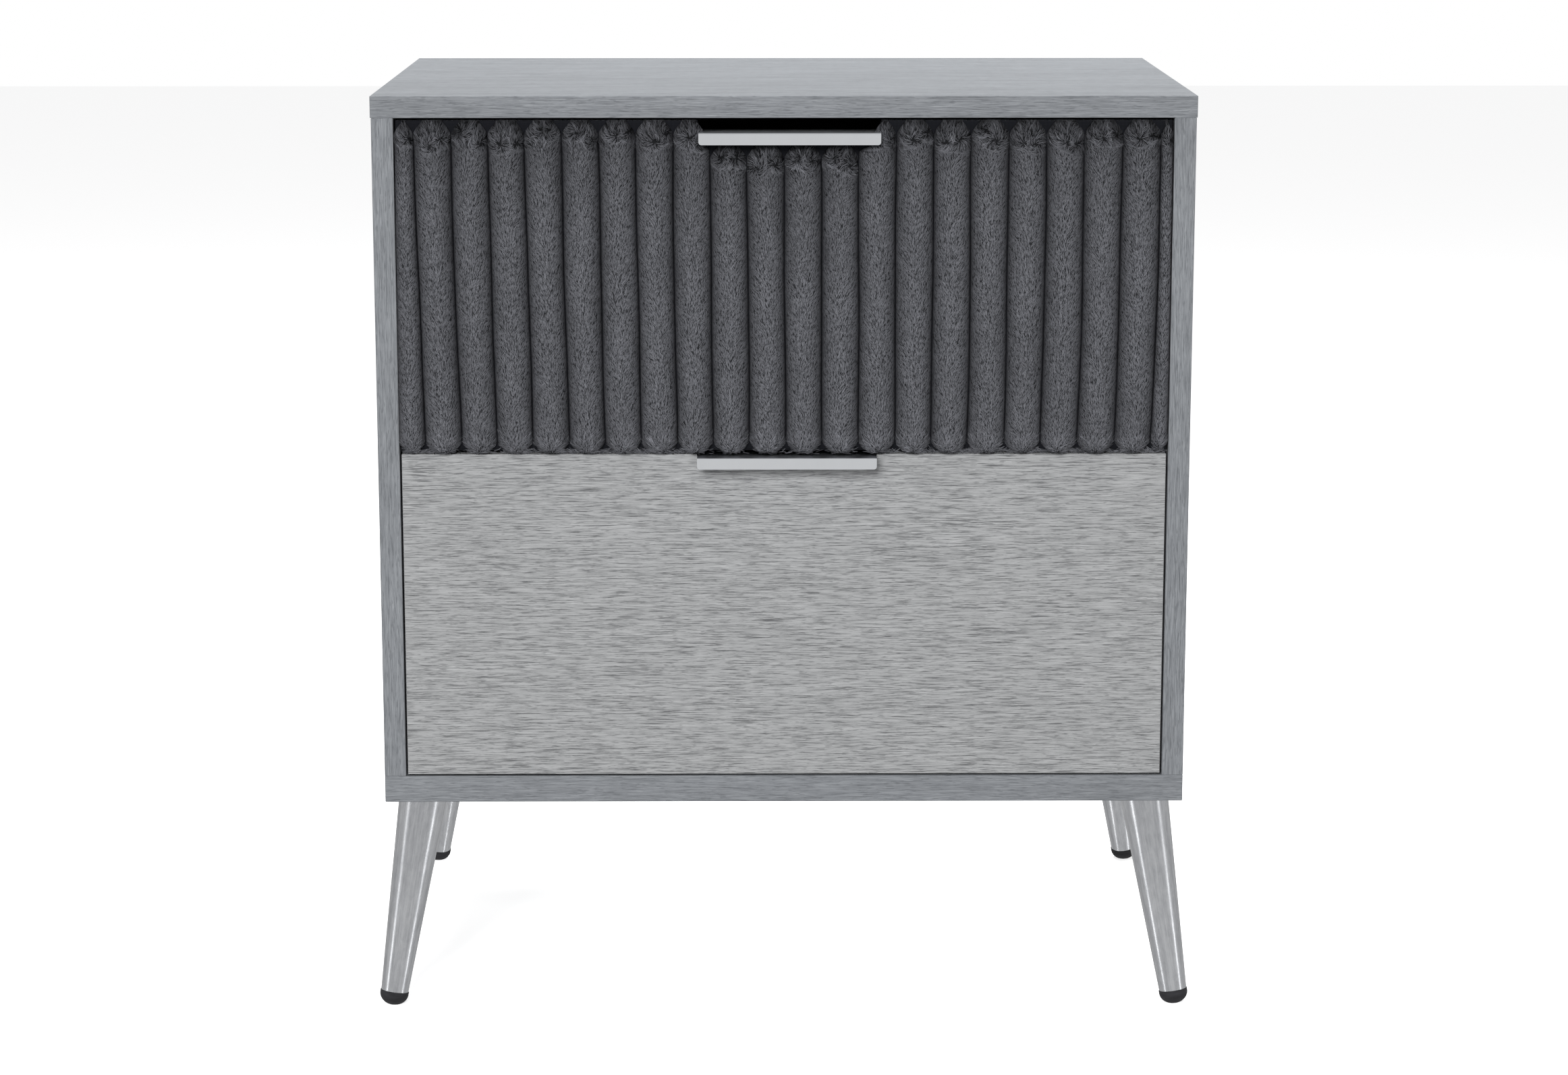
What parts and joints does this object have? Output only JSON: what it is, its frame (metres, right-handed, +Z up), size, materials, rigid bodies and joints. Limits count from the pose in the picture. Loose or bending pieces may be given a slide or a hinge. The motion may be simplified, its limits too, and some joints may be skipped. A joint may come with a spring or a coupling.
{
  "type": "nightstand",
  "caption": "Bedside cabinet on splayed tapered steel legs, with inset drawers on ball-bearing slides, a channel-tufted plush upper front and edge pulls.",
  "frame": {"origin": "on the floor, at the middle of the object's overall footprint", "axes": "+X to the right seen from the front, +Y to the rear, +Z up; the drawers open towards -Y"},
  "size_m": [0.6148, 0.4264, 0.688],
  "materials": {
    "carcass_laminate": "satin",
    "front_laminate": "satin",
    "front_mdf": "matte",
    "back_hardboard": "matte",
    "box_foil": "satin",
    "box_bottom_board": "satin",
    "dowel_beech": "matte",
    "plush_fabric": "matte",
    "padding_fibre": "matte",
    "handle_chrome": "polished",
    "screw_chrome": "polished",
    "leg_steel": "satin",
    "plate_zinc": "satin",
    "slide_zinc": "satin",
    "ball_steel": "gloss",
    "screw_zinc": "satin",
    "cam_zinc": "satin",
    "foot_rubber": "matte"
  },
  "bodies": {
    "cabinet": {"top_panel": "carcass_laminate", "bottom_panel": "carcass_laminate", "left_side_panel": "carcass_laminate", "right_side_panel": "carcass_laminate", "back_panel": "back_hardboard", "cam_locks": "cam_zinc", "cam_bolts": "cam_zinc", "wood_dowels": "dowel_beech", "front_left_leg": "leg_steel", "front_left_foot_cap": "foot_rubber", "front_left_leg_plate": "plate_zinc", "front_right_leg": "leg_steel", "front_right_foot_cap": "foot_rubber", "front_right_leg_plate": "plate_zinc", "rear_left_leg": "leg_steel", "rear_left_foot_cap": "foot_rubber", "rear_left_leg_plate": "plate_zinc", "rear_right_leg": "leg_steel", "rear_right_foot_cap": "foot_rubber", "rear_right_leg_plate": "plate_zinc", "leg_plate_screws": "screw_zinc", "slide_wall_screws": "screw_zinc", "upper_left_slide_cabinet_member": "slide_zinc", "upper_right_slide_cabinet_member": "slide_zinc", "lower_left_slide_cabinet_member": "slide_zinc", "lower_right_slide_cabinet_member": "slide_zinc"},
    "upper_drawer": {"upper_drawer_front_board": "front_mdf", "upper_front_channel_padding": "padding_fibre", "upper_front_plush_cover": "plush_fabric", "upper_handle": "handle_chrome", "upper_handle_screws": "screw_chrome", "upper_drawer_inner_front": "box_foil", "upper_drawer_left_side": "box_foil", "upper_drawer_right_side": "box_foil", "upper_drawer_back": "box_foil", "upper_drawer_bottom": "box_bottom_board", "upper_drawer_box_screws": "screw_zinc", "upper_drawer_front_screws": "screw_zinc", "upper_drawer_slide_screws": "screw_zinc", "upper_left_slide_drawer_member": "slide_zinc", "upper_right_slide_drawer_member": "slide_zinc"},
    "lower_drawer": {"lower_drawer_front": "front_laminate", "lower_handle": "handle_chrome", "lower_handle_screws": "screw_chrome", "lower_drawer_inner_front": "box_foil", "lower_drawer_left_side": "box_foil", "lower_drawer_right_side": "box_foil", "lower_drawer_back": "box_foil", "lower_drawer_bottom": "box_bottom_board", "lower_drawer_box_screws": "screw_zinc", "lower_drawer_front_screws": "screw_zinc", "lower_drawer_slide_screws": "screw_zinc", "lower_left_slide_drawer_member": "slide_zinc", "lower_right_slide_drawer_member": "slide_zinc"},
    "upper_left_ball_cage_body": {"upper_left_ball_cage": "ball_steel"},
    "upper_right_ball_cage_body": {"upper_right_ball_cage": "ball_steel"},
    "lower_left_ball_cage_body": {"lower_left_ball_cage": "ball_steel"},
    "lower_right_ball_cage_body": {"lower_right_ball_cage": "ball_steel"}
  },
  "joints": [
    {"name": "upper_drawer_slide", "type": "slide", "parent": "cabinet", "child": "upper_drawer", "axis": [0, -1, 0], "range_m": [0, 0.255]},
    {"name": "lower_drawer_slide", "type": "slide", "parent": "cabinet", "child": "lower_drawer", "axis": [0, -1, 0], "range_m": [0, 0.255]},
    {"name": "upper_left_cage_slide", "type": "slide", "parent": "cabinet", "child": "upper_left_ball_cage_body", "axis": [0, -1, 0], "range_m": [0, 0.1275]},
    {"name": "upper_right_cage_slide", "type": "slide", "parent": "cabinet", "child": "upper_right_ball_cage_body", "axis": [0, -1, 0], "range_m": [0, 0.1275]},
    {"name": "lower_left_cage_slide", "type": "slide", "parent": "cabinet", "child": "lower_left_ball_cage_body", "axis": [0, -1, 0], "range_m": [0, 0.1275]},
    {"name": "lower_right_cage_slide", "type": "slide", "parent": "cabinet", "child": "lower_right_ball_cage_body", "axis": [0, -1, 0], "range_m": [0, 0.1275]}
  ],
  "couplings": [
    {"joint": "upper_left_cage_slide", "follows": "upper_drawer_slide", "ratio": 0.5},
    {"joint": "upper_right_cage_slide", "follows": "upper_drawer_slide", "ratio": 0.5},
    {"joint": "lower_left_cage_slide", "follows": "lower_drawer_slide", "ratio": 0.5},
    {"joint": "lower_right_cage_slide", "follows": "lower_drawer_slide", "ratio": 0.5}
  ]
}
